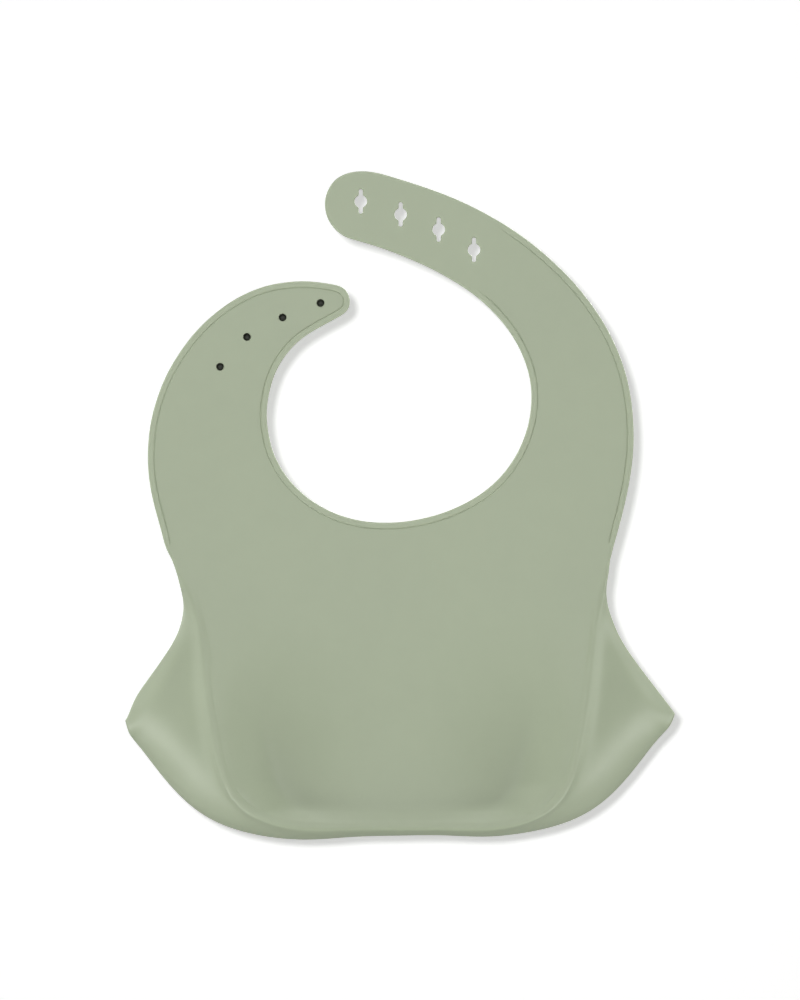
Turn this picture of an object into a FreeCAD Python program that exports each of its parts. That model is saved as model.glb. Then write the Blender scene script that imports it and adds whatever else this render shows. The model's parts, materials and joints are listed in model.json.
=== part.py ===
import FreeCAD, Part
import math
import os

# Silicone baby bib with a catch pocket, a stud strap and a keyhole strap. The one moulding is
# divided at the lines where it flexes, so each piece is a rigid body with a hinge line beside it.
#
# Frame: the sheet lies in the XZ plane with +Z up. The pocket is on the -Y side (front), the
# wearer is on +Y, and +X is the wearer's left. The origin is the centre of the neck opening, in
# the middle of the sheet's thickness. Units: millimetres.

Vector = FreeCAD.Vector
os.makedirs("parts", exist_ok=True)

# ---------------------------------------------------------------- driving dimensions
SHEET_T = 1.8            # sheet thickness
BEAD_T = 2.4             # thickness over the moulded edge bead
BEAD_W = 2.6             # width of the edge bead
KEY_T = 2.2              # thickness of the keyhole end of the strap
WALL_T = 1.8             # pocket wall thickness

KNUCKLE_R = 0.8          # round nose along a flex line
FLEX_GAP = 0.12          # running gap between a nose and the next segment
WAIST_GAP = 0.42         # the same gap at the waist, which bends further
WAIST_Z = -78.0          # height of the waist flex line
WAIST_FLEX = ((-110.0, WAIST_Z), (110.0, WAIST_Z))

KEYHOLE_R = 2.65         # round part of a keyhole
KEYHOLE_SLOT_W = 1.7     # width of the two slits
KEYHOLE_SLOT_L = 10.5    # overall length over both slits

STUD_FOOT_R = 3.3        # flared foot on the strap
STUD_FOOT_H = 0.7
STUD_NECK_R = 2.45
STUD_NECK_H = KEY_T + 0.3
STUD_NECK_OVERLAP = 0.2  # the neck runs this far into the head
STUD_HEAD_R = 3.75
STUD_HEAD_H = 2.3        # domed head, with its bevel
STUD_BEVEL_H = 0.35      # cone under the head
STUD_DOME_H = 1.3        # height of the spherical cap at the head's radius
STUD_PIT_R = 1.65        # blind pit that cores the stud from the back of the strap
STUD_PIT_DEPTH = 3.7     # depth of the pit beyond the strap's front face

# Outline of the flat sheet, from the left waist over the stud strap, round the neck opening,
# over the keyhole strap and down to the right waist: (x, z)
OUTLINE = [
    (92.0, -90.0), (93.0, -82.7), (95.0, -77.2), (99.0, -69.1), (101.5, -60.9), (105.2, -47.0),
    (106.8, -38.1), (107.4, -29.8), (107.1, -21.5), (106.0, -13.2), (103.9, -5.0), (101.0, 3.0),
    (97.2, 10.7), (92.6, 17.9), (87.5, 24.5), (81.7, 30.4), (75.6, 35.4), (69.2, 39.6),
    (62.6, 42.8), (55.9, 45.1), (49.1, 46.4), (41.9, 47.0), (34.2, 46.6), (28.1, 45.7),
    (24.7, 44.8), (22.4, 43.3), (21.0, 41.1), (20.5, 38.6), (20.8, 36.0), (22.2, 33.8),
    (25.0, 31.8), (33.0, 27.4), (39.6, 23.4), (44.2, 19.6), (48.0, 15.2), (51.2, 10.2),
    (53.6, 4.6), (55.2, -1.4), (56.1, -7.8), (56.0, -14.3), (55.0, -20.6), (53.3, -26.7),
    (50.7, -32.2), (47.3, -37.4), (43.0, -42.2), (38.1, -46.5), (32.5, -50.1), (26.4, -53.0),
    (19.8, -55.1), (12.8, -56.4), (5.2, -56.8), (-2.7, -56.4), (-10.9, -55.0), (-19.0, -52.8),
    (-26.4, -49.8), (-33.0, -46.3), (-38.8, -42.2), (-43.7, -37.7), (-47.9, -32.6), (-51.5, -26.8),
    (-54.3, -20.6), (-56.3, -14.0), (-57.3, -7.5), (-57.5, -1.1), (-56.8, 5.2), (-55.1, 11.5),
    (-52.5, 17.8), (-48.9, 24.1), (-44.3, 30.2), (-38.9, 35.9), (-32.5, 41.4), (-24.9, 46.5),
    (-15.9, 51.6), (-4.8, 56.7), (8.1, 61.6), (18.1, 64.6), (22.7, 66.2), (25.9, 68.4),
    (28.4, 71.2), (30.2, 74.5), (31.1, 78.0), (31.2, 81.7), (30.3, 85.2), (28.7, 88.3),
    (26.4, 90.9), (23.4, 92.7), (19.6, 93.9), (15.2, 94.3), (9.8, 93.8), (2.5, 91.9),
    (-11.9, 87.3), (-23.9, 82.8), (-34.6, 77.8), (-44.8, 72.1), (-54.3, 65.8), (-63.0, 58.9),
    (-71.0, 51.5), (-78.2, 43.7), (-84.4, 35.6), (-89.6, 27.5), (-93.7, 19.4), (-96.9, 11.2),
    (-99.3, 2.6), (-100.8, -6.5), (-101.5, -15.9), (-101.4, -25.6), (-100.3, -35.8), (-98.0, -47.8),
    (-94.1, -62.9), (-90.8, -75.6), (-89.6, -82.6), (-89.8, -90.2),
]

# Centres of the studs and keyholes, from the tip of each strap: (x, z)
STUDS = [(33.1, 37.6), (49.4, 31.4), (64.7, 23.0), (76.3, 10.2)]
KEYHOLES = [(15.8, 81.3), (-1.35, 75.7), (-17.7, 69.2), (-32.9, 60.5)]

# A point inside each plain strap segment, from the shoulder: (x, z)
STUD_PLAIN = [(79.5, -4.5)]
KEY_PLAIN = [(-79, 0), (-76, 14), (-68, 28), (-58.5, 40), (-46.5, 51.5)]

# Flex lines of the straps, from the shoulder to the tip: (neck-side point, outer point)
STUD_FLEX = [
    ((56.1, -10.0), (105.4, -12.0)),
    ((54.3, 1.4), (101.2, 2.6)),
    ((49.9, 12.2), (89.6, 21.8)),
    ((42.9, 20.9), (74.4, 36.2)),
    ((32.6, 27.6), (53.4, 45.6)),
]
KEY_FLEX = [
    ((-57.4, -4.5), (-101.2, -12.0)),
    ((-56.3, 8.0), (-98.6, 7.0)),
    ((-52.6, 18.0), (-92.4, 24.0)),
    ((-46.6, 27.6), (-82.2, 40.0)),
    ((-38.6, 36.2), (-67.8, 55.6)),
    ((-31.0, 42.6), (-49.2, 69.6)),
    ((-18.6, 50.0), (-31.6, 79.6)),
    ((-4.6, 56.8), (-14.6, 86.4)),
    ((11.6, 62.6), (2.4, 92.0)),
]

# Middle of the pocket wall: (x, y, z). Rows run along the pocket's U from the left waist to the
# middle of the floor, and are mirrored for the right. Columns run from the sheet's edge (0) over
# the side or floor to the outer fold (5) and up the front wall to the lip (9).
POCKET_ROWS = [
    [(93.2, 0.0, -75.5), (91.4, -2.2, -82.5), (90.8, -5.2, -91.0), (93.6, -7.8, -102.2),
     (102.0, -10.2, -117.6), (118.3, -15.5, -141.1), (117.9, -16.5, -141.8),
     (117.4, -17.4, -142.1), (116.8, -18.2, -142.2), (116.2, -19.0, -142.1)],
    [(86.0, 0.0, -97.0), (87.4, -1.6, -101.0), (89.9, -3.8, -106.9), (94.9, -5.8, -115.8),
     (104.0, -8.8, -128.5), (117.4, -15.5, -145.2), (117.2, -19.2, -145.6),
     (115.6, -22.0, -144.5), (114.7, -24.2, -144.0), (113.5, -26.0, -143.5)],
    [(82.8, 0.0, -122.3), (85.2, -2.0, -124.2), (88.8, -4.6, -127.4), (96.2, -6.8, -133.3),
     (106.3, -10.2, -141.4), (115.6, -18.5, -150.3), (115.2, -24.4, -150.4),
     (112.1, -28.4, -147.6), (110.0, -31.3, -146.0), (107.8, -33.6, -144.7)],
    [(79.3, 0.0, -147.0), (81.8, -2.4, -148.6), (85.8, -5.4, -151.2), (93.5, -9.0, -155.3),
     (102.7, -16.8, -158.8), (109.9, -26.5, -159.4), (108.8, -33.0, -157.2),
     (104.5, -37.4, -152.5), (100.7, -40.5, -149.1), (96.9, -42.8, -146.1)],
    [(73.3, 0.0, -169.6), (75.5, -2.8, -171.2), (79.5, -7.4, -174.1), (86.1, -14.2, -177.0),
     (92.9, -22.6, -177.8), (97.9, -31.2, -174.6), (96.9, -38.4, -169.3),
     (92.7, -43.4, -161.9), (88.1, -46.5, -154.5), (83.5, -48.5, -147.5)],
    [(61.3, 0.0, -182.5), (62.8, -3.5, -184.8), (65.4, -10.6, -188.6), (69.6, -18.2, -191.4),
     (74.0, -26.0, -191.5), (76.6, -33.6, -188.5), (75.8, -40.6, -181.6),
     (72.8, -45.6, -171.0), (69.0, -48.9, -159.6), (64.6, -50.9, -148.8)],
    [(41.9, 0.0, -187.9), (42.4, -4.0, -191.2), (43.2, -12.0, -194.8), (44.8, -20.0, -196.8),
     (46.0, -28.6, -196.2), (46.2, -36.2, -192.2), (45.6, -42.0, -184.6),
     (44.2, -46.8, -173.0), (42.4, -50.2, -160.8), (40.4, -52.2, -149.6)],
    [(20.0, 0.0, -187.9), (20.2, -4.0, -191.2), (20.5, -12.0, -194.4), (20.9, -20.0, -196.0),
     (21.2, -28.6, -195.2), (21.3, -36.4, -191.4), (21.1, -42.2, -184.2),
     (20.7, -47.0, -173.0), (20.3, -50.4, -161.0), (19.9, -52.4, -149.8)],
    [(0.0, 0.0, -187.8), (0.0, -4.0, -191.2), (0.0, -12.0, -194.2), (0.0, -20.0, -195.6),
     (0.0, -28.6, -194.8), (0.0, -36.4, -191.0), (0.0, -42.2, -184.0),
     (0.0, -47.0, -173.0), (0.0, -50.4, -161.0), (0.0, -52.4, -149.8)],
]
LAST_COLUMN = len(POCKET_ROWS[0]) - 1
COLUMN_LIFT = (0.0, 0.35, 0.7) + (1.0,) * 7    # share of the lift taken by each column
POCKET_LIFT = 3.9        # the hanging pocket sits this much higher than the table
POCKET_SKEW = 1.15       # its -X half rises up to this much more, its +X half this much less
SKEW_X = 50.0            # how gradually the skew builds up away from the middle
LIFT_Z = (-90.0, -160.0)       # heights where the lift starts and is full
WAIST_SHIFT = 2.45       # the shoulders sit this far to +X of the pocket's middle
SHIFT_Z = (-102.0, -75.5)      # heights where the shift starts and is full

# The lower panel is dished towards the pocket.
DISH_DEPTH = 3.6         # depth at its foot
DISH_CORNER = 5.0        # extra depth near its two lower corners
DISH_SIDE = 24.0         # width of the side slope
DISH_FOOT = 9.0          # width of the slope at the foot
DISH_Z = (-88.0, -180.0)       # heights where the dish starts and is full
CORNER_X, CORNER_Z = 57.0, -160.0              # centre of the extra depth
CORNER_SPREAD_X, CORNER_SPREAD_Z = 28.0, 34.0
RIDGE_FOOT_Z = POCKET_ROWS[-1][0][2]           # height of the ridge along the foot


def export(name, shape):
    shape.Solids[0].exportStep("parts/%s.step" % name)


def biggest(shape):
    return max(shape.Solids, key=lambda solid: solid.Volume).removeSplitter()


def ease(start, end, value):
    """Smooth step from 0 at start to 1 at end."""
    t = min(1.0, max(0.0, (value - start) / (end - start)))
    return t * t * (3 - 2 * t)


# ---------------------------------------------------------------- flat sheet
def closed_face(points):
    """Face in the XZ plane inside a spline through the points, closed by a straight line."""
    corners = [Vector(x, 0, z) for x, z in points]
    curve = Part.BSplineCurve()
    curve.interpolate(corners)
    base = Part.LineSegment(corners[-1], corners[0])
    return Part.Face(Part.Wire([curve.toShape(), base.toShape()]))


def slab(face, thickness):
    back = face.copy()
    back.translate(Vector(0, -thickness / 2.0, 0))
    return back.extrude(Vector(0, thickness, 0))


def inset(points, distance):
    """Points moved into the material, which is on the path's left seen from the front."""
    moved = []
    for i, (x, z) in enumerate(points):
        x0, z0 = points[max(0, i - 1)]
        x1, z1 = points[min(len(points) - 1, i + 1)]
        dx, dz = x1 - x0, z1 - z0
        length = math.hypot(dx, dz)
        moved.append((x - dz / length * distance, z + dx / length * distance))
    return moved


outer_face = closed_face(OUTLINE)
inner_face = closed_face(inset(OUTLINE, BEAD_W))
edge_bead = slab(outer_face, BEAD_T).cut(slab(inner_face, BEAD_T + 2.0))
beaded_sheet = slab(outer_face, SHEET_T).fuse(edge_bead).removeSplitter()
key_sheet = slab(outer_face, KEY_T)


# ---------------------------------------------------------------- flex lines
PRISM_HALF = 6.0         # cutting prisms reach this far to each side of the sheet's middle
REGION_OVERRUN = 3.0     # a segment's region runs this far past the ends of its flex lines
GAP_OVERRUN = 6.0        # and the gap beside a flex line this far
NOSE_OVERRUN = 4.0       # and the rod for a nose this far
WAIST_OVERRUN = 8.0      # and the gap at the waist this far
TIP_REACH = 45.0         # the region of a tip segment reaches this far from its flex line


def prism(corners):
    """Prism through the sheet over a polygon of (x, z) corners."""
    path = [Vector(x, -PRISM_HALF, z) for x, z in corners + corners[:1]]
    return Part.Face(Part.makePolygon(path)).extrude(Vector(0, 2 * PRISM_HALF, 0))


def stretched(line, overrun):
    """A line made longer by overrun at both ends."""
    (ax, az), (bx, bz) = line
    length = math.hypot(bx - ax, bz - az)
    dx, dz = (bx - ax) / length * overrun, (bz - az) / length * overrun
    return (ax - dx, az - dz), (bx + dx, bz + dz)


def band(line, inside, width, overrun):
    """Prism between a flex line and its parallel at width, on the side of the inside point."""
    (ax, az), (bx, bz) = stretched(line, overrun)
    length = math.hypot(bx - ax, bz - az)
    nx, nz = -(bz - az) / length * width, (bx - ax) / length * width
    if (inside[0] - ax) * nx + (inside[1] - az) * nz < 0:
        nx, nz = -nx, -nz
    return prism([(ax, az), (bx, bz), (bx + nx, bz + nz), (ax + nx, az + nz)])


def nose(line, sheet):
    """Round nose along a flex line, trimmed to the sheet."""
    (ax, az), (bx, bz) = stretched(line, NOSE_OVERRUN)
    start = Vector(ax, 0, az)
    axis = Vector(bx, 0, bz) - start
    return Part.makeCylinder(KNUCKLE_R, axis.Length, start, axis).common(sheet)


# ---------------------------------------------------------------- straps
def segment(sheet, near, far, inside):
    """The sheet between two flex lines, or beyond the near one where far is None."""
    if far:
        start, end = stretched(near, REGION_OVERRUN)
        far_start, far_end = stretched(far, REGION_OVERRUN)
        region = prism([start, end, far_end, far_start])
    else:
        region = band(near, inside, TIP_REACH, REGION_OVERRUN)
    shape = sheet.common(region)
    shape = shape.cut(band(near, inside, KNUCKLE_R + FLEX_GAP, GAP_OVERRUN))
    if far:
        shape = shape.fuse(nose(far, sheet))
    return biggest(shape)


def drill(radius, x, z):
    """Cylinder right through the sheet along Y."""
    return Part.makeCylinder(radius, 10, Vector(x, -5, z), Vector(0, 1, 0))


def pit_cutter(x, z):
    return drill(STUD_PIT_R, x, z)


def keyhole_cutter(x, z):
    """Round hole with a round-ended slit above and below."""
    end_radius = KEYHOLE_SLOT_W / 2.0
    half = KEYHOLE_SLOT_L / 2.0 - end_radius
    slot = Part.makeBox(KEYHOLE_SLOT_W, 10, 2 * half, Vector(x - end_radius, -5, z - half))
    cutter = drill(KEYHOLE_R, x, z).fuse(slot)
    cutter = cutter.fuse(drill(end_radius, x, z + half)).fuse(drill(end_radius, x, z - half))
    return cutter.removeSplitter()


def build_strap(name, flex_lines, plain, holes, holed_sheet, hole_cutter):
    """Plain segments from the shoulder, then one segment round each hole."""
    far_lines = flex_lines[1:] + [None]
    for i, (near, far, inside) in enumerate(zip(flex_lines, far_lines, plain + holes)):
        if i < len(plain):
            body = segment(beaded_sheet, near, far, inside)
        else:
            body = segment(holed_sheet, near, far, inside).cut(hole_cutter(*inside))
        export("%s_segment_%d" % (name, i + 1), body)


def stud(x, z):
    """Mushroom stud on the front of the strap, with a blind pit from its foot."""
    front = Vector(0, -1, 0)

    def at(height):
        return Vector(x, -SHEET_T / 2.0 - height, z)

    foot = Part.makeCone(STUD_FOOT_R, STUD_NECK_R, STUD_FOOT_H, at(0), front)
    neck = Part.makeCylinder(STUD_NECK_R, STUD_NECK_H + STUD_NECK_OVERLAP, at(0), front)
    bevel = Part.makeCone(STUD_NECK_R, STUD_HEAD_R, STUD_BEVEL_H, at(STUD_NECK_H), front)
    head = Part.makeCylinder(STUD_HEAD_R, STUD_HEAD_H - STUD_BEVEL_H,
                             at(STUD_NECK_H + STUD_BEVEL_H), front)
    dome_radius = (STUD_HEAD_R ** 2 + STUD_DOME_H ** 2) / (2 * STUD_DOME_H)
    dome = Part.makeSphere(dome_radius, at(STUD_NECK_H + STUD_HEAD_H - dome_radius))
    solid = foot.fuse(neck).fuse(bevel).fuse(head.common(dome))
    solid = solid.cut(Part.makeCylinder(STUD_PIT_R, STUD_PIT_DEPTH, at(0), front))
    return solid.Solids[0].removeSplitter()


# ---------------------------------------------------------------- chest panel
CHEST_REACH = 125.0      # half width of the region, beyond the sheet's edges
NECK_LEFT, NECK_RIGHT = (53.0, -9.9), (-54.0, -4.0)    # region corners in the neck opening


def chest_panel():
    """The sheet below both shoulder flex lines and above the waist, with a nose on all three."""
    left_neck, left_outer = STUD_FLEX[0]
    right_neck, right_outer = KEY_FLEX[0]
    region = prism([
        (CHEST_REACH, WAIST_Z), (CHEST_REACH, left_outer[1]), left_outer, left_neck, NECK_LEFT,
        NECK_RIGHT, right_neck, right_outer, (-CHEST_REACH, right_outer[1]),
        (-CHEST_REACH, WAIST_Z)])
    chest = beaded_sheet.common(region)
    for line in (STUD_FLEX[0], KEY_FLEX[0], WAIST_FLEX):
        chest = chest.fuse(nose(line, beaded_sheet))
    return biggest(chest)


# ---------------------------------------------------------------- curved walls
def solid_between(grids):
    """Closed solid between two spline surfaces, each through a grid of points."""
    def middle(edge):
        return edge.valueAt((edge.FirstParameter + edge.LastParameter) / 2.0)

    sheets = []
    for grid in grids:
        surface = Part.BSplineSurface()
        surface.interpolate(grid)
        sheets.append(surface.toShape())
    faces = list(sheets)
    for edge in sheets[0].Edges:
        partner = min(sheets[1].Edges, key=lambda other: (middle(other) - middle(edge)).Length)
        faces.append(Part.makeRuledSurface(edge, partner))
    shell = Part.makeShell(faces)
    shell.sewShape()
    solid = Part.makeSolid(Part.Shell(shell.Faces))
    # the sewn shell may face inwards
    if solid.Volume < 0:
        solid.reverse()
    return solid


def hung_row(row, side):
    """A table row on one side (+1 left, -1 right), shifted and lifted as the pocket hangs."""
    placed = []
    for (x, y, z), share in zip(row, COLUMN_LIFT):
        x = side * x + WAIST_SHIFT * ease(*SHIFT_Z, z)
        lift = ease(*LIFT_Z, z) * (POCKET_LIFT - POCKET_SKEW * math.tanh(x / SKEW_X))
        placed.append((x, y, z + share * lift))
    return placed


ROWS = [hung_row(row, 1) for row in POCKET_ROWS]
ROWS += [hung_row(row, -1) for row in reversed(POCKET_ROWS[:-1])]
LAST_ROW = len(ROWS) - 1
MIDDLE_ROW = LAST_ROW / 2.0


def hermite(values, position):
    """Smooth interpolation of equally spaced tuples."""
    last = len(values) - 1
    i = min(int(position), last - 1)
    t = position - i
    start, end = values[i], values[i + 1]
    before = values[i - 1] if i > 0 else tuple(2 * a - b for a, b in zip(start, end))
    after = values[i + 2] if i + 2 <= last else tuple(2 * a - b for a, b in zip(end, start))
    result = []
    for p0, p1, p2, p3 in zip(before, start, end, after):
        slope1, slope2 = (p2 - p0) / 2.0, (p3 - p1) / 2.0
        result.append((2 * t ** 3 - 3 * t ** 2 + 1) * p1 + (t ** 3 - 2 * t ** 2 + t) * slope1
                      + (-2 * t ** 3 + 3 * t ** 2) * p2 + (t ** 3 - t ** 2) * slope2)
    return tuple(result)


def wall_point(row, column):
    return Vector(*hermite([hermite(points, column) for points in ROWS], row))


def wall_normal(row, column):
    step = 0.02
    along_rows = (wall_point(min(LAST_ROW, row + step), column)
                  - wall_point(max(0, row - step), column))
    along_columns = (wall_point(row, min(LAST_COLUMN, column + step))
                     - wall_point(row, max(0, column - step)))
    normal = along_rows.cross(along_columns)
    normal.normalize()
    return normal


def wall_patch(end_row, first_column, last_column, row_steps, column_steps, start_row=None):
    """Pocket wall between two rows and two columns; a column may be a function of the row.

    Without a start row the patch is symmetric about the middle row.
    """
    if start_row is None:
        start_row = LAST_ROW - end_row
    grids = ([], [])
    for i in range(row_steps + 1):
        row = start_row + (end_row - start_row) * i / row_steps
        first = first_column(row) if callable(first_column) else first_column
        last = last_column(row) if callable(last_column) else last_column
        lines = ([], [])
        for j in range(column_steps + 1):
            column = first + (last - first) * j / column_steps
            point = wall_point(row, column)
            offset = wall_normal(row, column) * (WALL_T / 2.0)
            lines[0].append(point + offset)
            lines[1].append(point - offset)
        grids[0].append(lines[0])
        grids[1].append(lines[1])
    return solid_between(grids)


# Column limits on either side of the fold along the foot of the front wall
def floor_front(row):
    return 4.90 - 0.24 * max(0.0, (abs(row - MIDDLE_ROW) - 1.8) / 1.5)


def wall_foot(row):
    return 5.16 + 0.05 * max(0.0, min(1.0, abs(row - MIDDLE_ROW) - 2.0))


# ---------------------------------------------------------------- lower panel
def ridge_half_width(z):
    """Half the distance between the two side ridges at height z."""
    ridge = [(row[0][0], row[0][2]) for row in POCKET_ROWS]
    for (x0, z0), (x1, z1) in zip(ridge, ridge[1:]):
        if z1 <= z <= z0:
            return x0 + (x1 - x0) * (z0 - z) / (z0 - z1)
    return ridge[0][0] if z > ridge[0][1] else 0.0


def dish_y(x, z):
    """Middle of the lower panel's thickness: flat at the waist, dished at the foot."""
    inside = (ease(0.0, DISH_SIDE, ridge_half_width(z) - abs(x))
              * ease(0.0, DISH_FOOT, z - RIDGE_FOOT_Z))
    corner = math.exp(-((abs(x) - CORNER_X) / CORNER_SPREAD_X) ** 2
                      - ((z - CORNER_Z) / CORNER_SPREAD_Z) ** 2)
    return -inside * (DISH_DEPTH * ease(*DISH_Z, z) + DISH_CORNER * corner)


def lower_panel():
    """The back wall of the pocket, below the waist flex line."""
    # the end points keep the upper corners on the sheet's edge
    ridge = [(x, z) for x, y, z in (row[0] for row in ROWS) if z < -90]
    face = closed_face([(94.6, -78.6), (90.4, -87.0)] + ridge + [(-87.4, -87.0), (-90.1, -78.6)])
    # the dished slab is larger than the panel
    xs = [-100.0 + 4.0 * i for i in range(51)]
    zs = [-197.0 + 3.5 * j for j in range(37)]
    dished = solid_between([[[Vector(x, dish_y(x, z) + offset, z) for z in zs] for x in xs]
                            for offset in (-SHEET_T / 2.0, SHEET_T / 2.0)])
    panel = slab(face, 30.0).common(dished)
    gap = band(WAIST_FLEX, (0, -100), KNUCKLE_R + WAIST_GAP, WAIST_OVERRUN)
    return biggest(panel.cut(gap))


# ---------------------------------------------------------------- pieces
build_strap("stud_strap", STUD_FLEX, STUD_PLAIN, STUDS[::-1], beaded_sheet, pit_cutter)
for number, (x, z) in enumerate(STUDS, 1):
    export("stud_%d" % number, stud(x, z))
build_strap("keyhole_strap", KEY_FLEX, KEY_PLAIN, KEYHOLES[::-1], key_sheet, keyhole_cutter)
export("chest_panel", chest_panel())
export("lower_panel", lower_panel())
export("pocket_floor", wall_patch(LAST_ROW - 4.78, 0.30, floor_front, 16, 7, start_row=4.78))
export("pocket_gusset_left", wall_patch(4.70, 0.50, 4.88, 12, 7, start_row=0.55))
export("pocket_gusset_right", wall_patch(LAST_ROW - 0.55, 0.50, 4.88, 12, 7,
                                         start_row=LAST_ROW - 4.70))
export("pocket_front_wall", wall_patch(LAST_ROW - 0.8, wall_foot, LAST_COLUMN, 28, 6))
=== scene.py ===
import json
import math

import bmesh
import bpy
import numpy as np
from mathutils import Vector
from mathutils.geometry import delaunay_2d_cdt
from mathutils.kdtree import KDTree
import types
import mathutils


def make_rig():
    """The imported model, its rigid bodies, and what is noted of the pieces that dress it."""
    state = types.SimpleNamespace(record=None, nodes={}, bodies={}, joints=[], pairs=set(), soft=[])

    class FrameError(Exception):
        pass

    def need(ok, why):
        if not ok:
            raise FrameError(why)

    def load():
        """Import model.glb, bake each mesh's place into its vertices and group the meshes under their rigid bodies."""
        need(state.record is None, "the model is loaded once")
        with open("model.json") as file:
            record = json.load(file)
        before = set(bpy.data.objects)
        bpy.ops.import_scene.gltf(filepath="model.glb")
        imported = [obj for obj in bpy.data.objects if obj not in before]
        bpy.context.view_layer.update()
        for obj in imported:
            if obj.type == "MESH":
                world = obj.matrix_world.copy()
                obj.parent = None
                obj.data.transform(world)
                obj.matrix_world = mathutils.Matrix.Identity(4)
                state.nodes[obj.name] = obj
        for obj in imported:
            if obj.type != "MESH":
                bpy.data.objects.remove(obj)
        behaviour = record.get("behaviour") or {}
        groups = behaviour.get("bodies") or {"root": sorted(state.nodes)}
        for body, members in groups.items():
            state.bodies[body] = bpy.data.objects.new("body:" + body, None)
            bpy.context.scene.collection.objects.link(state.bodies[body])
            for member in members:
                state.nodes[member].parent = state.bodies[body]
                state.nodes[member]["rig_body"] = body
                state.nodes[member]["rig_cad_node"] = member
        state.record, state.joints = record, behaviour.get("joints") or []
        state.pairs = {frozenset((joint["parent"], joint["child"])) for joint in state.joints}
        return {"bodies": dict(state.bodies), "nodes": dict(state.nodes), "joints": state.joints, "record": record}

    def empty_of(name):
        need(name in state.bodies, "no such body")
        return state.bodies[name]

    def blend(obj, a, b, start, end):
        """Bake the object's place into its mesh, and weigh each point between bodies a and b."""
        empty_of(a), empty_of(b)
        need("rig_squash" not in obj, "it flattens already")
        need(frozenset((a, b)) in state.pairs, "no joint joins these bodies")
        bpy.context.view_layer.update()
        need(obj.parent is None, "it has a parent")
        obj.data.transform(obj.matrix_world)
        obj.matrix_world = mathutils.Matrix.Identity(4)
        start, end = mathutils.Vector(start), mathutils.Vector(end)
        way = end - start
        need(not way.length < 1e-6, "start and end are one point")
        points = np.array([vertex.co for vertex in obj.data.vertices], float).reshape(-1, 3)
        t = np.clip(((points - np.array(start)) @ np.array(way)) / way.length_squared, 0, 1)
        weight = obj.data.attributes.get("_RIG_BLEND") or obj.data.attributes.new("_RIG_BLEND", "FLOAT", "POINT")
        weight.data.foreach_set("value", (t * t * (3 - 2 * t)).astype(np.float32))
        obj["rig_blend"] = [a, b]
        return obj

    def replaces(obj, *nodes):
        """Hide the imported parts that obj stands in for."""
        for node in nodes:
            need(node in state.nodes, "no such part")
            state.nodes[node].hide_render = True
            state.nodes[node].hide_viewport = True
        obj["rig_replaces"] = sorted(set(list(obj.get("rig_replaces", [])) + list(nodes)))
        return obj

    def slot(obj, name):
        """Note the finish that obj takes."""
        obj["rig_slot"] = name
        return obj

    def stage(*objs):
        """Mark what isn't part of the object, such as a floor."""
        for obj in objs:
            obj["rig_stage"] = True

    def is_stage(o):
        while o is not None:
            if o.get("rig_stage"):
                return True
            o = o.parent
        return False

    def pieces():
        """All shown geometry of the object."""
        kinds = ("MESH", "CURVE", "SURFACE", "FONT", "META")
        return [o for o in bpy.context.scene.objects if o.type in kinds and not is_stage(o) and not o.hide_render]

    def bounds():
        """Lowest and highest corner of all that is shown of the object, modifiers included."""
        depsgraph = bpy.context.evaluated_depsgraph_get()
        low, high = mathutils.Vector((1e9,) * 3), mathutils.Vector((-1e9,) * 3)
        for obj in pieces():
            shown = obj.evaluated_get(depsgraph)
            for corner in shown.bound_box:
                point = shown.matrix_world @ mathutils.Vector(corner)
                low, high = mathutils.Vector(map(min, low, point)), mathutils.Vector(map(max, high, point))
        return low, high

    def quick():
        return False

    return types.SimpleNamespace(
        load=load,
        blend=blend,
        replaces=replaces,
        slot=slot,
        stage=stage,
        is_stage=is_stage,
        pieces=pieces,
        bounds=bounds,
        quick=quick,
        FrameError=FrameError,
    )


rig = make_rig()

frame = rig.load()
cad_lo, cad_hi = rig.bounds()
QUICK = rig.quick()
MM = 0.001

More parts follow.
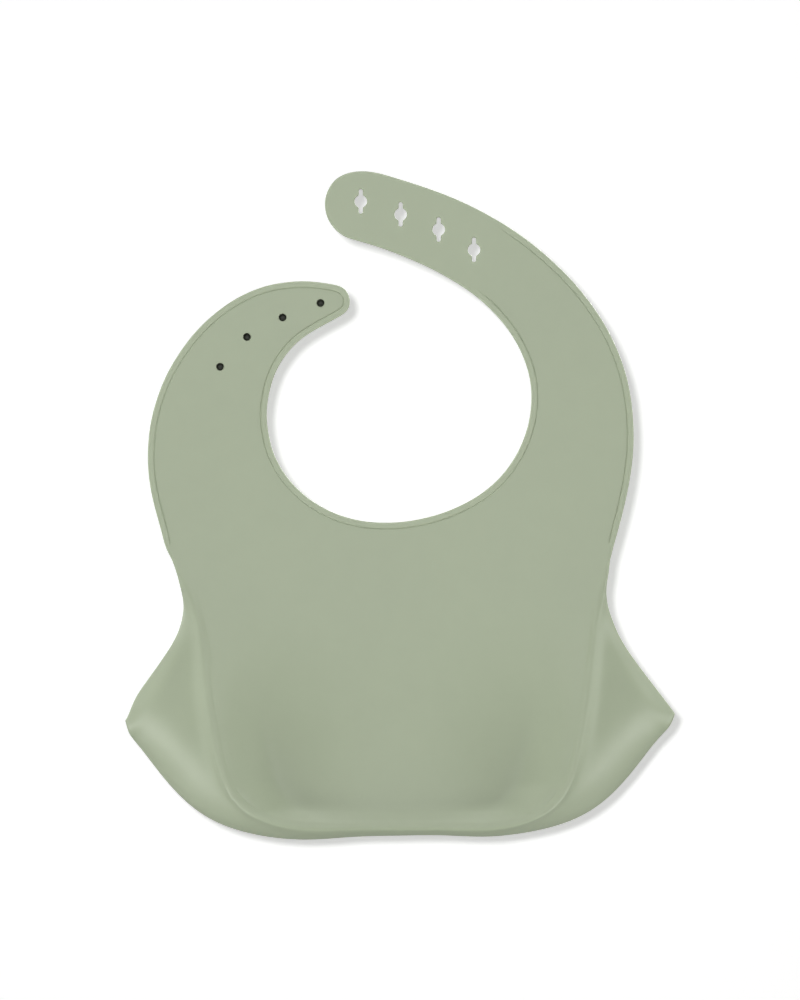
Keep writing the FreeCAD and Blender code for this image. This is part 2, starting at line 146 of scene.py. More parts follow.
# ------------------------------------------------------------------ shape tables, millimetres, (x, z) or (x, y, z)
OUTLINE = [
    (92.0, -90.0), (93.0, -82.7), (95.65, -75.5), (99.0, -69.1), (101.5, -60.9), (105.2, -47.0), (106.8, -38.1), (107.4, -29.8),
    (107.1, -21.5), (106.0, -13.2), (103.9, -5.0), (101.0, 3.0), (97.2, 10.7), (92.6, 17.9), (87.5, 24.5), (81.7, 30.4),
    (75.6, 35.4), (69.2, 39.6), (62.6, 42.8), (55.9, 45.1), (49.1, 46.4), (41.9, 47.0), (34.2, 46.6), (28.1, 45.7),
    (24.7, 44.8), (22.4, 43.3), (21.0, 41.1), (20.5, 38.6), (20.8, 36.0), (22.2, 33.8), (25.0, 31.8), (33.0, 27.4),
    (39.6, 23.4), (44.2, 19.6), (48.0, 15.2), (51.2, 10.2), (53.6, 4.6), (55.2, -1.4), (56.1, -7.8), (56.0, -14.3),
    (55.0, -20.6), (53.3, -26.7), (50.7, -32.2), (47.3, -37.4), (43.0, -42.2), (38.1, -46.5), (32.5, -50.1), (26.4, -53.0),
    (19.8, -55.1), (12.8, -56.4), (5.2, -56.8), (-2.7, -56.4), (-10.9, -55.0), (-19.0, -52.8), (-26.4, -49.8), (-33.0, -46.3),
    (-38.8, -42.2), (-43.7, -37.7), (-47.9, -32.6), (-51.5, -26.8), (-54.3, -20.6), (-56.3, -14.0), (-57.3, -7.5), (-57.5, -1.1),
    (-56.8, 5.2), (-55.1, 11.5), (-52.5, 17.8), (-48.9, 24.1), (-44.3, 30.2), (-38.9, 35.9), (-32.5, 41.4), (-24.9, 46.5),
    (-15.9, 51.6), (-4.8, 56.7), (8.1, 61.6), (18.1, 64.6), (22.7, 66.2), (25.9, 68.4), (28.4, 71.2), (30.2, 74.5),
    (31.1, 78.0), (31.2, 81.7), (30.3, 85.2), (28.7, 88.3), (26.4, 90.9), (23.4, 92.7), (19.6, 93.9), (15.2, 94.3),
    (9.8, 93.8), (2.5, 91.9), (-11.9, 87.3), (-23.9, 82.8), (-34.6, 77.8), (-44.8, 72.1), (-54.3, 65.8), (-63.0, 58.9),
    (-71.0, 51.5), (-78.2, 43.7), (-84.4, 35.6), (-89.6, 27.5), (-93.7, 19.4), (-96.9, 11.2), (-99.3, 2.6), (-100.8, -6.5),
    (-101.5, -15.9), (-101.4, -25.6), (-100.3, -35.8), (-98.0, -47.8), (-94.1, -62.9), (-90.75, -75.5), (-89.6, -82.6), (-89.8, -90.2),
]
KEYHOLES = [(15.8, 81.3), (-1.35, 75.7), (-17.7, 69.2), (-32.9, 60.5)]
STUDS = [(33.1, 37.6), (49.4, 31.4), (64.7, 23.0), (76.3, 10.2)]
POCKET_ROWS = [
    [(93.2, 0.0, -75.5), (91.4, -2.2, -82.5), (90.8, -5.2, -91.0), (93.6, -7.8, -102.2), (102.0, -10.2, -117.6), (118.3, -15.5, -141.1),
     (117.9, -16.5, -141.8), (117.4, -17.4, -142.1), (116.8, -18.2, -142.2), (116.2, -19.0, -142.1)],
    [(86.0, 0.0, -97.0), (87.4, -1.6, -101.0), (89.9, -3.8, -106.9), (94.9, -5.8, -115.8), (104.0, -8.8, -128.5), (117.4, -15.5, -145.2),
     (117.2, -19.2, -145.6), (115.6, -22.0, -144.5), (114.7, -24.2, -144.0), (113.5, -26.0, -143.5)],
    [(82.8, 0.0, -122.3), (85.2, -2.0, -124.2), (88.8, -4.6, -127.4), (96.2, -6.8, -133.3), (106.3, -10.2, -141.4), (115.6, -18.5, -150.3),
     (115.2, -24.4, -150.4), (112.1, -28.4, -147.6), (110.0, -31.3, -146.0), (107.8, -33.6, -144.7)],
    [(79.3, 0.0, -147.0), (81.8, -2.4, -148.6), (85.8, -5.4, -151.2), (93.5, -9.0, -155.3), (102.7, -16.8, -158.8), (109.9, -26.5, -159.4),
     (108.8, -33.0, -157.2), (104.5, -37.4, -152.5), (100.7, -40.5, -149.1), (96.9, -42.8, -146.1)],
    [(73.3, 0.0, -169.6), (75.5, -2.8, -171.2), (79.5, -7.4, -174.1), (86.1, -14.2, -177.0), (92.9, -22.6, -177.8), (97.9, -31.2, -174.6),
     (96.9, -38.4, -169.3), (92.7, -43.4, -161.9), (88.1, -46.5, -154.5), (83.5, -48.5, -147.5)],
    [(61.3, 0.0, -182.5), (62.8, -3.5, -184.8), (65.4, -10.6, -188.6), (69.6, -18.2, -191.4), (74.0, -26.0, -191.5), (76.6, -33.6, -188.5),
     (75.8, -40.6, -181.6), (72.8, -45.6, -171.0), (69.0, -48.9, -159.6), (64.6, -50.9, -148.8)],
    [(41.9, 0.0, -187.9), (42.4, -4.0, -191.2), (43.2, -12.0, -194.8), (44.8, -20.0, -196.8), (46.0, -28.6, -196.2), (46.2, -36.2, -192.2),
     (45.6, -42.0, -184.6), (44.2, -46.8, -173.0), (42.4, -50.2, -160.8), (40.4, -52.2, -149.6)],
    [(20.0, 0.0, -187.9), (20.2, -4.0, -191.2), (20.5, -12.0, -194.4), (20.9, -20.0, -196.0), (21.2, -28.6, -195.2), (21.3, -36.4, -191.4),
     (21.1, -42.2, -184.2), (20.7, -47.0, -173.0), (20.3, -50.4, -161.0), (19.9, -52.4, -149.8)],
    [(0.0, 0.0, -187.8), (0.0, -4.0, -191.2), (0.0, -12.0, -194.2), (0.0, -20.0, -195.6), (0.0, -28.6, -194.8), (0.0, -36.4, -191.0),
     (0.0, -42.2, -184.0), (0.0, -47.0, -173.0), (0.0, -50.4, -161.0), (0.0, -52.4, -149.8)],
]
HALF_T = 0.9             # half the sheet's thickness
KEY_HALF_T = 1.12        # half the thickness of the keyhole end
BEAD_H = 0.22            # height of the edge bead over the sheet, each face
BEAD_FOOT = 2.6          # distance of the bead's foot from the edge
WAIST_CUT = -94.0
STEP = 1.6 if QUICK else 1.1     # sampling along the outline
GRID = 3.0 if QUICK else 2.3     # sampling inside the sheet


def ease(a, b, v):
    t = np.clip((np.asarray(v, float) - a) / (b - a), 0.0, 1.0)
    return t * t * (3 - 2 * t)


class Spline:
    """Natural cubic spline through rows of P at the parameters u."""

    def __init__(self, u, P):
        u, P = np.asarray(u, float), np.asarray(P, float)
        n = len(u)
        h = np.diff(u)
        A = np.zeros((n, n))
        B = np.zeros((n,) + P.shape[1:])
        A[0, 0] = A[-1, -1] = 1.0
        for i in range(1, n - 1):
            A[i, i - 1], A[i, i], A[i, i + 1] = h[i - 1], 2 * (h[i - 1] + h[i]), h[i]
            B[i] = 6 * ((P[i + 1] - P[i]) / h[i] - (P[i] - P[i - 1]) / h[i - 1])
        self.u, self.P, self.h = u, P, h
        self.M = np.linalg.solve(A, B.reshape(n, -1)).reshape(B.shape)

    def __call__(self, v):
        v = np.asarray(v, float)
        i = np.clip(np.searchsorted(self.u, v, side="right") - 1, 0, len(self.u) - 2)
        shape = v.shape + (1,) * (self.P.ndim - 1)
        h = self.h[i].reshape(shape)
        a = (self.u[i + 1] - v).reshape(shape)
        b = (v - self.u[i]).reshape(shape)
        return ((self.M[i] * a ** 3 + self.M[i + 1] * b ** 3) / (6 * h)
                + (self.P[i] / h - self.M[i] * h / 6) * a + (self.P[i + 1] / h - self.M[i + 1] * h / 6) * b)


def arclength(P):
    return np.concatenate([[0], np.cumsum(np.linalg.norm(np.diff(P, axis=0), axis=1))])


# ------------------------------------------------------------------ outline
O = np.array(OUTLINE, float)
o_spline = Spline(arclength(O), O)
i_left = OUTLINE.index((95.65, -75.5))
i_right = OUTLINE.index((-90.75, -75.5))
dense_u = np.linspace(o_spline.u[0], o_spline.u[-1], 12001)
dense_p = o_spline(dense_u)
dense_s = arclength(dense_p)


def at_arc(s):
    u = np.interp(s, dense_s, dense_u)
    return o_spline(u)


def arc_of(u):
    return np.interp(u, dense_u, dense_s)


S_L, S_R = arc_of(o_spline.u[i_left]), arc_of(o_spline.u[i_right])
UP = 9.0                                     # the pocket's grid starts this far above the waist corners
S_A, S_B = S_L + UP, S_R - UP
arcs = np.linspace(S_A, S_B, int((S_B - S_A) / STEP))
rim = at_arc(arcs)
tang = at_arc(arcs + 0.05) - at_arc(arcs - 0.05)
tang /= np.linalg.norm(tang, axis=1)[:, None]
inward = np.stack([-tang[:, 1], tang[:, 0]], 1)


def inside_outline(P):
    """Even-odd test against the whole closed outline."""
    poly = dense_p[::6]
    x, z = P[:, 0], P[:, 1]
    hit = np.zeros(len(P), bool)
    x0, z0 = poly[:, 0], poly[:, 1]
    x1, z1 = np.roll(x0, -1), np.roll(z0, -1)
    for a, b, c, d in zip(x0, z0, x1, z1):
        if b == d:
            continue
        c1 = (b > z) != (d > z)
        hit ^= c1 & (x < (c - a) * (z - b) / (d - b) + a)
    return hit


if inside_outline(rim + inward * 1.0).mean() < 0.5:
    inward = -inward


# ------------------------------------------------------------------ pocket surface
def shift_at(z):
    return 2.45 * ease(-102.0, -75.5, z)


COLUMN_LIFT = np.array([0.0, 0.35, 0.7, 1, 1, 1, 1, 1, 1, 1])


def lift_at(x, z):
    return ease(-90.0, -160.0, z) * (3.9 - 1.15 * np.tanh(x / 50.0))


def ridge_half_width(z):
    pts = np.array([(r[0][2], r[0][0]) for r in POCKET_ROWS[:-1]] + [(-187.81, 0.0)])
    return np.interp(-np.asarray(z, float), -pts[:, 0], pts[:, 1])


def dish(x, z):
    """Middle of the lower panel's thickness: flat at the waist, dished at the foot."""
    x, z = np.asarray(x, float), np.asarray(z, float)
    inside = ease(0.0, 24.0, ridge_half_width(z) - np.abs(x)) * ease(0.0, 9.0, z + 187.8)
    ramp = ease(0.0, 1.0, (-88.0 - z) / 92.0)
    corner = np.exp(-((np.abs(x) - 57.0) / 28.0) ** 2 - ((z + 160.0) / 34.0) ** 2)
    return -inside * (3.6 * ramp + 5.0 * corner)


table_rows = np.array(POCKET_ROWS, float)
rows = np.concatenate([table_rows, table_rows[:-1][::-1] * [-1, 1, 1]])          # 17 x 10 x 3
rows[..., 0] += shift_at(rows[..., 2])
rows[..., 2] += COLUMN_LIFT * lift_at(rows[..., 0], rows[..., 2])
LAST = len(rows) - 1
by_row = Spline(np.arange(LAST + 1), rows)
knots = [0, 0.25, 0.5] + list(range(1, LAST)) + [LAST - 0.5, LAST - 0.25, LAST]
full = by_row(np.array(knots, float))
RIDGE_PROUD = ([-200.0, -172.0, -158.0, -145.0, -128.0, -118.0, -108.0, -100.0, -92.0],
               [0.50, 0.50, 0.36, 0.16, 0.14, 0.34, 0.62, 0.55, 0.0])
inner_cols = np.zeros((len(knots), 2, 3))
for k, s in enumerate(knots):
    lr = s < LAST / 2
    q = s if lr else LAST - s
    base_arc, sign = (S_A, 1.0) if lr else (S_B, -1.0)
    p0 = at_arc(np.array([base_arc]))[0]
    t0 = (at_arc(np.array([base_arc + 0.1 * sign]))[0] - p0) / 0.1          # up the outline
    n0 = inward[0] if lr else inward[-1]
    if q == 0:
        c1, c2 = p0, at_arc(np.array([base_arc + sign * UP]))[0]
    elif q == 0.25:
        c1, c2 = p0 + n0 * 1.4, p0 + n0 * 1.8 + t0 * UP
    elif q == 0.5:
        c1, c2 = p0 + n0 * 5.2 - t0 * 2.6, p0 + n0 * 7.4 + t0 * 4.0
    else:
        r = full[k, 0]
        prev = by_row(np.array([max(0.0, s - 0.4)]))[0, 0]
        nxt = by_row(np.array([min(float(LAST), s + 0.4)]))[0, 0]
        d = np.array([nxt[0] - prev[0], nxt[2] - prev[2]])
        d /= np.linalg.norm(d)
        n = np.array([-d[1], d[0]])
        if n @ (np.array([0.0, -130.0]) - r[[0, 2]]) < 0:
            n = -n
        c1, c2 = r[[0, 2]] + n * 2.8, r[[0, 2]] + n * 7.0
    for m, c in enumerate((c2, c1)):
        inner_cols[k, m] = (c[0], float(dish(c[0], c[1])), c[1])
proud = np.interp(full[:, 0, 2], *RIDGE_PROUD) * [float(ease(0.2, 0.9, min(s, LAST - s))) for s in knots]
full[:, 0, 1] += proud
ctrl = np.concatenate([inner_cols, full], axis=1)      # columns -2 .. 9
by_s = Spline(knots, ctrl)


def lin(a, b, step):
    return list(np.linspace(a, b, max(2, int(round((b - a) / step)) + 1)))


near = [0, 0.004, 0.014, 0.03, 0.05, 0.075, 0.105, 0.14, 0.18, 0.23, 0.29, 0.36]
ds = 0.12 if QUICK else 0.085
s_val = near + lin(0.44, LAST - 0.44, ds) + [LAST - a for a in reversed(near)]
s_val = np.array(s_val)
lip = [8.6, 8.7, 8.78, 8.84, 8.885, 8.92, 8.95, 8.97, 8.985, 8.995, 9.0]
t_val = np.array(lin(-1.0, 8.5, 0.14 if QUICK else 0.1) + lip)
strip = by_s(s_val)                                     # n x 12 x 3
by_t = Spline(np.arange(-2, 10), np.swapaxes(strip, 0, 1))
bowl = np.swapaxes(by_t(t_val), 0, 1)                   # ns x nt x 3
tip = np.exp(-((bowl[..., 0] - 119.0) / 9.0) ** 2 - ((bowl[..., 2] + 142.0) / 8.0) ** 2)
bowl += tip[..., None] * [-2.2, 0.0, -1.0]              # the left wing's tip is drawn in a little
ns, nt = bowl.shape[:2]
seam = bowl[:, 0]                                       # column -1, shared with the sheet

# ------------------------------------------------------------------ sheet, triangulated in its plane
pts, cons = [], []


def add_loop(P, closed):
    start = len(pts)
    pts.extend([tuple(p) for p in P])
    n = len(P)
    cons.extend([(start + i, start + i + 1) for i in range(n - 1)])
    if closed:
        cons.append((start + n - 1, start))
    return list(range(start, start + n))


seam2 = seam[:, [0, 2]]
border = np.concatenate([rim, seam2[::-1][1:-1]])       # rim runs left to right, the seam comes back
border_in = add_loop(border, True)
rim_in = border_in[:len(rim)]
seam_in = [rim_in[0]] + border_in[len(rim):][::-1] + [rim_in[-1]]     # from s = 0 to s = LAST


def bead_foot(z, x):
    """Distance of the bead's foot from the edge: it closes in on the edge at the waist."""
    return 1.7 + (BEAD_FOOT - 1.7) * ease(-73.0, -59.0, z)


def key_line(x, z):
    """Signed distance past the line where the keyhole strap's bead runs out, towards the tip."""
    a, b = np.array([-37.0, 40.0]), np.array([-48.0, 69.0])
    d = (b - a) / np.linalg.norm(b - a)
    n = np.array([d[1], -d[0]])
    return (x - a[0]) * n[0] + (z - a[1]) * n[1]


def bead_strength(x, z):
    x, z = np.asarray(x, float), np.asarray(z, float)
    on_key = (z > 30) & ((x < -15) | (z > 52))
    past = np.where(on_key, key_line(x, z), -99.0)
    return ease(-73.5, -64.0, z) * (1 - ease(-5.0, 6.0, past))


def half_thickness(x, z):
    x, z = np.asarray(x, float), np.asarray(z, float)
    on_key = (z > 30) & ((x < -15) | (z > 52))
    past = np.where(on_key, key_line(x, z), -99.0)
    return HALF_T + (KEY_HALF_T - HALF_T) * ease(-9.0, 6.0, past)


edge_d = [0.03, 0.1, 0.22, 0.4, 0.66, 1.0]
foot_off = [-0.5, -0.36, -0.24, -0.12, 0.0, 0.08, 0.16, 0.24, 0.34, 0.5, 0.85, 1.4]
foot = bead_foot(rim[:, 1], rim[:, 0])
rings = [np.full(len(rim), d) for d in edge_d] + [1.0 + (foot - 0.5 - 1.0) * 0.5] + [foot + o for o in foot_off]
for d in rings:
    add_loop((rim + inward * d[:, None])[1:-1], False)
RING_OUT = BEAD_FOOT + foot_off[-1]

N_STUD = 32 if QUICK else 48
stud_rings = [1.65, 1.69, 1.77, 1.88, 2.05, 2.6, 3.3, 3.38, 3.55, 3.85]
ang = np.arange(N_STUD) * 2 * math.pi / N_STUD
ring_in = {}
for k, (cx, cz) in enumerate(STUDS):
    for r in stud_rings:
        ring_in[k, r] = add_loop(np.stack([cx + r * np.cos(ang), cz + r * np.sin(ang)], 1), True)


def keyhole_loop(cx, cz, off):
    """Keyhole outline, offset outwards: a circle with a slit above and below it, all corners rounded."""
    R, w, L = 2.65 + off, 0.85 + off, 5.25 + off
    fil = max(0.12, 0.75 - off)                       # radius where a slit meets the circle
    # upper right quadrant, from the +x side to the tip of the upper slit
    d = math.sqrt(max(1e-6, (R + fil) ** 2 - (w + fil) ** 2))
    fc = np.array([w + fil, d])
    a_end = math.atan2(fc[1], fc[0])
    q = [np.array([R * math.cos(a), R * math.sin(a)]) for a in np.linspace(0, a_end, 9)[:-1]]
    f0, f1 = math.atan2(-fc[1], -fc[0]), -math.pi
    q += [fc + fil * np.array([math.cos(a), math.sin(a)]) for a in np.linspace(f0, f1, 6)]
    top = L - w
    q += [np.array([w, z]) for z in np.linspace(d, top, 5)[1:]]
    q += [np.array([w * math.cos(a), top + w * math.sin(a)]) for a in np.linspace(0, math.pi / 2, 7)[1:]]
    q = np.array(q)
    up_left = (q * [-1, 1])[::-1][1:]
    low_left = (q * [-1, -1])[1:]
    low_right = (q * [1, -1])[::-1][1:-1]
    loop = np.concatenate([q, up_left, low_left, low_right])
    return loop + [cx, cz]


KEY_OFF = [0.0, 0.02, 0.07, 0.15, 0.27, 0.42, 0.7, 1.2]
hole_in = []
for cx, cz in KEYHOLES:
    for o in KEY_OFF:
        loop = add_loop(keyhole_loop(cx, cz, o), True)
        if o == 0.0:
            hole_in += loop

gx, gz = np.meshgrid(np.arange(-110, 112, GRID), np.arange(-192, 97, GRID * 0.866))
gx = gx + (np.arange(gx.shape[0]) % 2)[:, None] * GRID / 2
G = np.stack([gx.ravel(), gz.ravel()], 1)


def nearest(P, Q):
    tree = KDTree(len(Q))
    for i, q in enumerate(Q):
        tree.insert((q[0], q[1], q[2] if len(q) > 2 else 0.0), i)
    tree.balance()
    return np.array([tree.find((p[0], p[1], p[2] if len(p) > 2 else 0.0))[2] for p in P])


def inside_poly(P, poly):
    x, z = P[:, 0], P[:, 1]
    hit = np.zeros(len(P), bool)
    for (a, b), (c, d) in zip(poly, np.roll(poly, -1, axis=0)):
        if b == d:
            continue
        hit ^= ((b > z) != (d > z)) & (x < (c - a) * (z - b) / (d - b) + a)
    return hit


G = G[inside_poly(G, border)]
G = G[nearest(G, rim) > RING_OUT + 0.9]
seam_fine = np.concatenate([seam2[:-1] + (seam2[1:] - seam2[:-1]) * k / 6 for k in range(6)])
G = G[nearest(G, seam_fine) > 1.2]
for cx, cz in STUDS:
    G = G[np.hypot(G[:, 0] - cx, G[:, 1] - cz) > 3.85 + 0.8]
for cx, cz in KEYHOLES:
    G = G[nearest(G, keyhole_loop(cx, cz, 1.2)) > 0.8]
    G = G[~inside_poly(G, keyhole_loop(cx, cz, 1.2))]
pts.extend([tuple(p) for p in G])

out = delaunay_2d_cdt([Vector(p) for p in pts], cons, [], 0, 1e-6, True)
P2 = np.array([tuple(v) for v in out[0]])
to_out = np.full(len(pts), -1, int)
for i, src in enumerate(out[3]):
    for j in src:
        to_out[j] = i
        P2[i] = pts[j]
print("points lost in the triangulation:", int((to_out < 0).sum()))
T2 = np.array([f for f in out[2] if len(f) == 3])
cen = P2[T2].mean(axis=1)
keep = inside_poly(cen, border)
for cx, cz in KEYHOLES:
    keep &= ~inside_poly(cen, keyhole_loop(cx, cz, 0.0))
T2 = T2[keep]
area = np.cross(P2[T2[:, 1]] - P2[T2[:, 0]], P2[T2[:, 2]] - P2[T2[:, 0]])
T2 = T2[np.abs(area) > 1e-7]
print("sheet points", len(P2), "triangles", len(T2), "grid", ns, nt)

# ------------------------------------------------------------------ one middle surface: sheet plus pocket
mid = np.stack([P2[:, 0], dish(P2[:, 0], P2[:, 1]), P2[:, 1]], 1)
grid_id = np.full((ns, nt), -1, int)
grid_id[:, 0] = to_out[seam_in]
n0 = len(mid)
new = np.argwhere(grid_id < 0)
grid_id[tuple(new.T)] = n0 + np.arange(len(new))
mid = np.concatenate([mid, bowl[tuple(new.T)]])
quads = []
for i in range(ns - 1):
    a, b = grid_id[i], grid_id[i + 1]
    quads.append(np.stack([a[:-1], b[:-1], b[1:], a[1:]], 1))
quads = np.concatenate(quads)

tri = T2.copy()
n_t = np.cross(mid[tri[:, 1]] - mid[tri[:, 0]], mid[tri[:, 2]] - mid[tri[:, 0]])
tri[n_t[:, 1] < 0] = tri[n_t[:, 1] < 0][:, ::-1]
probe = quads[(ns // 2) * (nt - 1) + 2]
n_q = np.cross(mid[probe[1]] - mid[probe[0]], mid[probe[2]] - mid[probe[0]])
if n_q[1] < 0:
    quads = quads[:, ::-1]


def vertex_normals(V, tris, quads):
    """Angle-weighted normals."""
    N = np.zeros_like(V)
    for F in (tris, quads):
        if len(F) == 0:
            continue
        k = F.shape[1]
        for c in range(k):
            p, a, b = V[F[:, c]], V[F[:, (c + 1) % k]] - V[F[:, c]], V[F[:, (c - 1) % k]] - V[F[:, c]]
            la, lb = np.linalg.norm(a, axis=1) + 1e-12, np.linalg.norm(b, axis=1) + 1e-12
            n = np.cross(a, b)
            ln = np.linalg.norm(n, axis=1) + 1e-12
            ang = np.arctan2(ln, (a * b).sum(1))
            np.add.at(N, F[:, c], n / ln[:, None] * ang[:, None])
    return N / (np.linalg.norm(N, axis=1)[:, None] + 1e-12)


nrm = vertex_normals(mid, tri, quads)

# distance of every point to the free edge
edge_arcs = np.arange(S_L, S_R, 0.12)
e_out = at_arc(edge_arcs)
e_out = np.stack([e_out[:, 0], np.zeros(len(e_out)), e_out[:, 1]], 1)


def fine(P, step=0.12):
    a = arclength(P)
    u = np.arange(0, a[-1], step)
    return np.stack([np.interp(u, a, P[:, k]) for k in range(3)], 1)


free = np.concatenate([e_out, fine(bowl[0]), fine(bowl[-1]), fine(bowl[:, -1])])
dist = nearest(mid, free)
is_lip = nearest(mid[n0:], fine(bowl[:, -1]))
on_edge = np.zeros(len(mid), bool)
on_edge[to_out[rim_in]] = True
on_edge[to_out[hole_in]] = True
on_edge[grid_id[0]] = on_edge[grid_id[-1]] = on_edge[grid_id[:, -1]] = True
hole_d = np.full(n0, 99.0)
for cx, cz in KEYHOLES:
    near_k = np.hypot(P2[:, 0] - cx, P2[:, 1] - cz) < 9
    loop = keyhole_loop(cx, cz, 0.0)
    a = arclength(np.concatenate([loop, loop[:1]]))
    u = np.arange(0, a[-1], 0.03)
    lp = np.concatenate([loop, loop[:1]])
    fine_loop = np.stack([np.interp(u, a, lp[:, k]) for k in range(2)], 1)
    hole_d[near_k] = np.minimum(hole_d[near_k], nearest(P2[near_k], fine_loop))
hole_d[to_out[hole_in]] = 0.0
dist[on_edge & (np.arange(len(mid)) >= 0)] = np.where(dist[on_edge] < 0.3, 0.0, dist[on_edge])


def edge_round(d, w, p):
    q = 1 - np.clip(d / w, 0, 1)
    return (1 - q ** p) ** (1 / p)


x_, z_ = mid[:, 0], mid[:, 2]
H = np.full(len(mid), HALF_T)
H[:n0] = half_thickness(x_[:n0], z_[:n0])
b_ = np.zeros(len(mid))
b_[:n0] = bead_strength(x_[:n0], z_[:n0])
f_ = bead_foot(z_, x_)
H += BEAD_H * b_ * (1 - ease(f_ - 0.34, f_ + 0.04, dist)) - 0.19 * b_ * np.exp(-((dist - f_ - 0.06) / 0.18) ** 2)
H[n0:] += 0.42 * (1 - ease(1.2, 3.4, is_lip))
H *= edge_round(dist, 1.0, 2.2)
H[:n0] *= edge_round(hole_d, 0.42, 2.6)
H[on_edge] = 0.0
H_back, H_front = H.copy(), H.copy()
stud_r = np.full(n0, 99.0)
for cx, cz in STUDS:
    stud_r = np.minimum(stud_r, np.hypot(P2[:, 0] - cx, P2[:, 1] - cz))
lipr = np.clip((stud_r - 1.65) / 0.36, 0, 1)
H_back[:n0] -= np.where(stud_r < 2.02, 0.32 * (1 - np.sqrt(1 - (1 - lipr) ** 2)), 0.0)
H_front[:n0] += np.where(stud_r < 3.84, 0.10 * (1 - np.clip((stud_r - 3.3) / 0.54, 0, 1)) ** 2, 0.0)

back = mid + nrm * H_back[:, None]
front = mid - nrm * H_front[:, None]
nm = len(mid)
front_id = np.where(on_edge, np.arange(nm), np.arange(nm) + nm)
verts = np.concatenate([back, front])
r_tri = np.full(len(tri), 99.0)
tc = mid[tri].mean(axis=1)
for cx, cz in STUDS:
    r_tri = np.minimum(r_tri, np.hypot(tc[:, 0] - cx, tc[:, 2] - cz))
tri_b = tri[r_tri > 1.64]
tri_f = front_id[tri[r_tri > 3.29]][:, ::-1]
tris = [tri_b, tri_f]
quads_all = [quads, front_id[quads][:, ::-1]]

# pits and studs
extra = []
pit_shade_mark, n_all = [], len(verts)


def ring_ids(k, r, face):
    ids = to_out[ring_in[k, r]]
    return list(ids if face == "back" else front_id[ids])


def revolve(cx, cz, first, profile, flip, mark):
    """Rings from an existing ring down a profile of (r, y), closed with a point at its end."""
    global n_all
    prev = first
    for r, y in profile[:-1]:
        ids = list(range(n_all, n_all + N_STUD))
        extra.extend([(cx + r * math.cos(a), y, cz + r * math.sin(a)) for a in ang])
        pit_shade_mark.extend([mark] * N_STUD)
        n_all += N_STUD
        q = np.array([[prev[k], prev[(k + 1) % N_STUD], ids[(k + 1) % N_STUD], ids[k]] for k in range(N_STUD)])
        quads_all.append(q[:, ::-1] if flip else q)
        prev = ids
    extra.append((cx, profile[-1][1], cz))
    pit_shade_mark.append(mark)
    q = np.array([[prev[k], prev[(k + 1) % N_STUD], n_all] for k in range(N_STUD)])
    tris.append(q[:, ::-1] if flip else q)
    n_all += 1


pit_profile = [(1.645, 0.40), (1.64, 0.1), (1.635, -0.6), (1.62, -1.6), (1.60, -2.8), (1.58, -3.7), (1.5, -4.12), (1.3, -4.38), (1.0, -4.52), (0.6, -4.59), (0.25, -4.61), (0, -4.615)]
stud_profile = [(3.12, -1.04), (2.88, -1.2), (2.66, -1.42), (2.52, -1.7), (2.46, -2.0), (2.45, -2.4), (2.46, -2.9), (2.52, -3.12), (2.68, -3.27),
                (2.95, -3.36), (3.3, -3.42), (3.56, -3.49), (3.70, -3.62), (3.75, -3.8), (3.75, -4.05), (3.72, -4.3), (3.62, -4.55), (3.44, -4.8),
                (3.16, -5.04), (2.8, -5.24), (2.3, -5.42), (1.7, -5.56), (1.1, -5.65), (0.5, -5.69), (0, -5.7)]
for k, (cx, cz) in enumerate(STUDS):
    revolve(cx, cz, ring_ids(k, 1.65, "back"), pit_profile, True, 1.0)
    revolve(cx, cz, ring_ids(k, 3.3, "front"), stud_profile, False, 0.0)
verts = np.concatenate([verts, np.array(extra)])
tris, quads_all = np.concatenate(tris), np.concatenate(quads_all)
used = np.zeros(len(verts), bool)
used[tris] = True
used[quads_all] = True
remap = np.cumsum(used) - 1
# painted shade: the pit walls are marked here so the silicone's colour is darkened inside the pits
pit = np.zeros(len(verts))
pit[2 * nm:] = pit_shade_mark
edge_attr = np.ones(len(verts)) * 99
edge_attr[:nm] = np.where(np.arange(nm) < n0, np.minimum(dist, np.pad(hole_d, (0, nm - n0), constant_values=99)), dist)
edge_attr[nm:2 * nm] = edge_attr[:nm]
on_bead = np.concatenate([b_, b_, np.zeros(len(verts) - 2 * nm)]) * (1 - ease(1.9, 2.7, edge_attr))
# painted highlight: weight for a lighter colour near every free edge and on the edge bead
edge_attr = np.exp(-edge_attr / 0.9) + 0.5 * on_bead
verts, pit, edge_attr = verts[used], pit[used], edge_attr[used]
tris, quads_all = remap[tris], remap[quads_all]
# the surfaces face outwards: the sheet's back faces +Y
N = vertex_normals(verts, tris, quads_all)
print("global vertices", len(verts), "faces", len(tris) + len(quads_all))

# ------------------------------------------------------------------ flex lines, from the joints of the frame
joints = {j["name"]: j for j in frame["joints"]}


def flex(name, seed):
    """Middle of a strap's flex line and the in-sheet direction towards the strap's tip, in mm."""
    j = joints[name]
    p = np.array([j["pos_m"][0], j["pos_m"][2]]) * 1000
    a = np.array([j["axis"][0], j["axis"][2]])
    a = a / np.linalg.norm(a)
    n = np.array([-a[1], a[0]])
    if n @ (np.array(seed) - p) < 0:
        n = -n
    return p, n


stud_seed = [(79.5, -4.5), STUDS[3], STUDS[2], STUDS[1], STUDS[0]]
key_seed = [(-79, 0), (-76, 14), (-68, 28), (-58.5, 40), (-46.5, 51.5), KEYHOLES[3], KEYHOLES[2], KEYHOLES[1], KEYHOLES[0]]
stud_flex = [flex("stud_strap_curl" if i == 0 else "stud_strap_flex_%d" % (i + 1), s) for i, s in enumerate(stud_seed)]
key_flex = [flex("keyhole_strap_curl" if i == 0 else "keyhole_strap_flex_%d" % (i + 1), s) for i, s in enumerate(key_seed)]
DELTA = 3.8                                   # half the length over which a flex line bends

